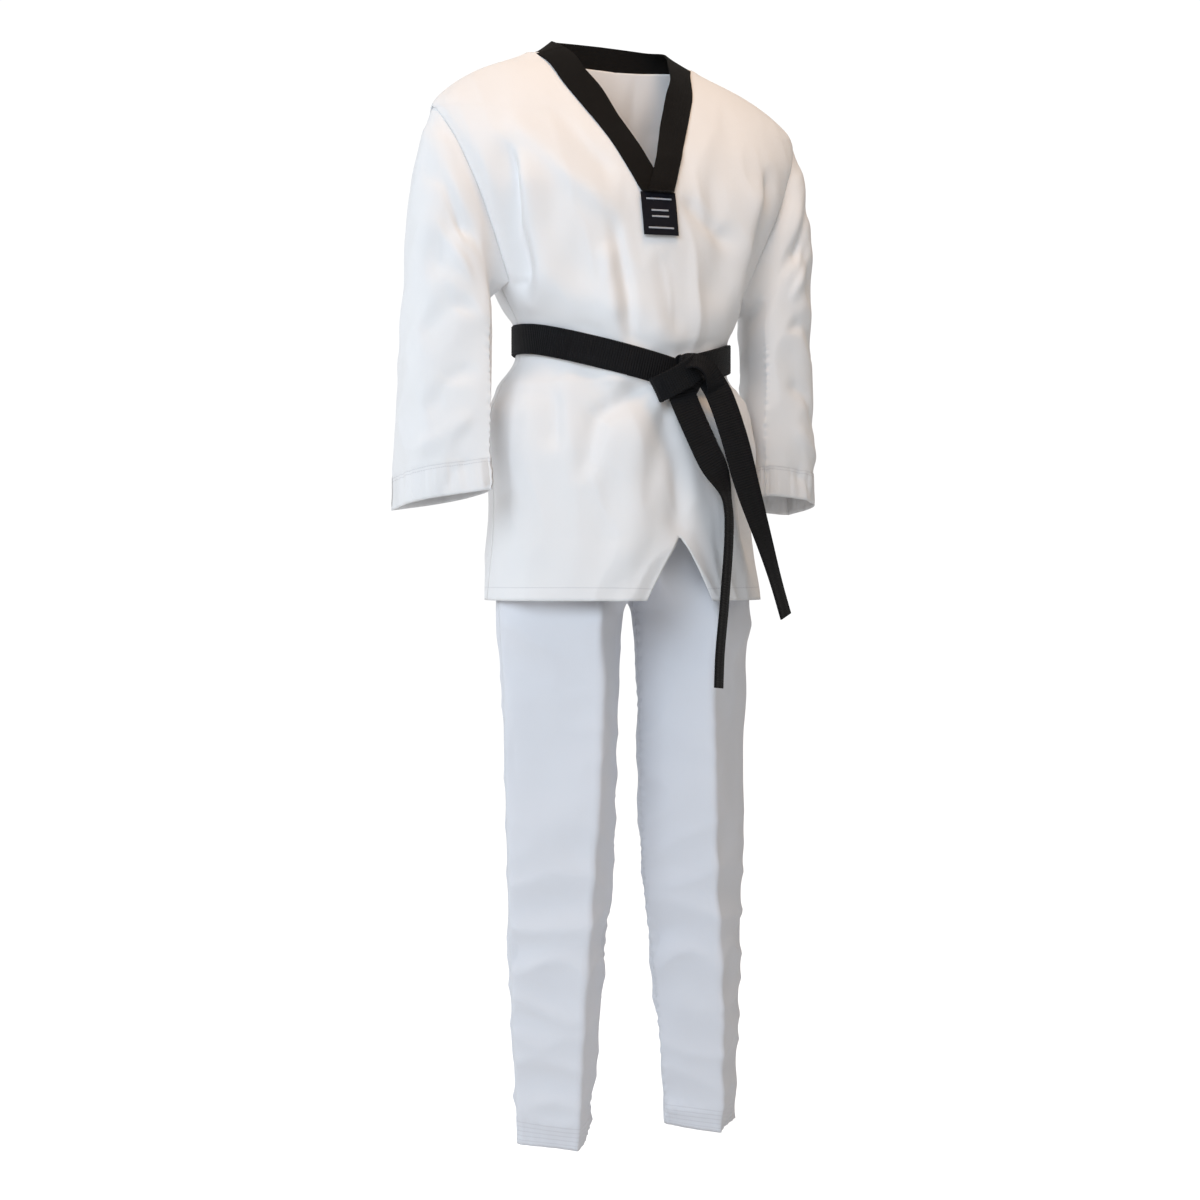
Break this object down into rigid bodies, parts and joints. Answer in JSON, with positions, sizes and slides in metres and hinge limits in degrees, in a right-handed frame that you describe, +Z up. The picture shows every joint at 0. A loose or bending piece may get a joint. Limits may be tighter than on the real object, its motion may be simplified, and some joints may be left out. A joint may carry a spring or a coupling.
{
  "type": "martial arts uniform",
  "caption": "White pullover martial arts jacket with black V collar, wide sleeves and a knotted black belt over white creased trousers, hanging as worn.",
  "frame": {"origin": "middle of the wearer's waist, at the height of the belt at the sides", "axes": "+Z up towards the collar, +Y towards the back, +X towards the wearer's left sleeve; the front faces -Y"},
  "size_m": [0.6216, 0.3234, 1.46],
  "materials": {
    "jacket_cloth": "matte",
    "trouser_cloth": "matte",
    "collar": "matte",
    "belt": "matte",
    "label": "matte",
    "elastic": "matte"
  },
  "bodies": {
    "uniform": {"jacket_front_panel": "jacket_cloth", "jacket_back_panel": "jacket_cloth", "jacket_hem_layer_front": "jacket_cloth", "jacket_hem_layer_back": "jacket_cloth", "collar_band_left": "collar", "collar_band_right": "collar", "collar_band_back": "collar", "chest_label": "label", "seat_left_front": "trouser_cloth", "seat_left_back": "trouser_cloth", "seat_right_front": "trouser_cloth", "seat_right_back": "trouser_cloth", "crotch_gusset": "trouser_cloth", "trouser_waistband": "trouser_cloth", "waist_elastic": "elastic", "belt_inner_wrap": "belt", "belt_outer_wrap": "belt", "belt_knot_core": "belt", "belt_knot_wrap": "belt"},
    "right_sleeve": {"sleeve_right": "jacket_cloth", "cuff_layer_right": "jacket_cloth"},
    "left_sleeve": {"sleeve_left": "jacket_cloth", "cuff_layer_left": "jacket_cloth"},
    "right_leg": {"leg_right_front": "trouser_cloth", "leg_right_back": "trouser_cloth", "leg_hem_layer_right": "trouser_cloth"},
    "left_leg": {"leg_left_front": "trouser_cloth", "leg_left_back": "trouser_cloth", "leg_hem_layer_left": "trouser_cloth"},
    "long_tail": {"belt_tail_long": "belt"},
    "short_tail": {"belt_tail_short": "belt"}
  },
  "joints": [
    {"name": "right_sleeve_swing", "type": "hinge", "parent": "uniform", "child": "right_sleeve", "pos_m": [-0.2195, -0.005, 0.1935], "axis": [-0.9225, 0, -0.3861], "range_deg": [-20, 70]},
    {"name": "left_sleeve_swing", "type": "hinge", "parent": "uniform", "child": "left_sleeve", "pos_m": [0.2195, -0.005, 0.1935], "axis": [-0.9225, 0, 0.3861], "range_deg": [-20, 70]},
    {"name": "right_leg_swing", "type": "hinge", "parent": "uniform", "child": "right_leg", "pos_m": [-0.092, -0.018, -0.34], "axis": [-1, 0, 0], "range_deg": [-15, 25]},
    {"name": "left_leg_swing", "type": "hinge", "parent": "uniform", "child": "left_leg", "pos_m": [0.092, -0.018, -0.34], "axis": [-1, 0, 0], "range_deg": [-15, 25]},
    {"name": "long_tail_swing", "type": "hinge", "parent": "uniform", "child": "long_tail", "pos_m": [0.022, -0.141, -0.084], "axis": [-1, 0, 0], "range_deg": [0, 60]},
    {"name": "short_tail_swing", "type": "hinge", "parent": "uniform", "child": "short_tail", "pos_m": [0.068, -0.147, -0.07], "axis": [-1, 0, 0], "range_deg": [0, 60]}
  ]
}
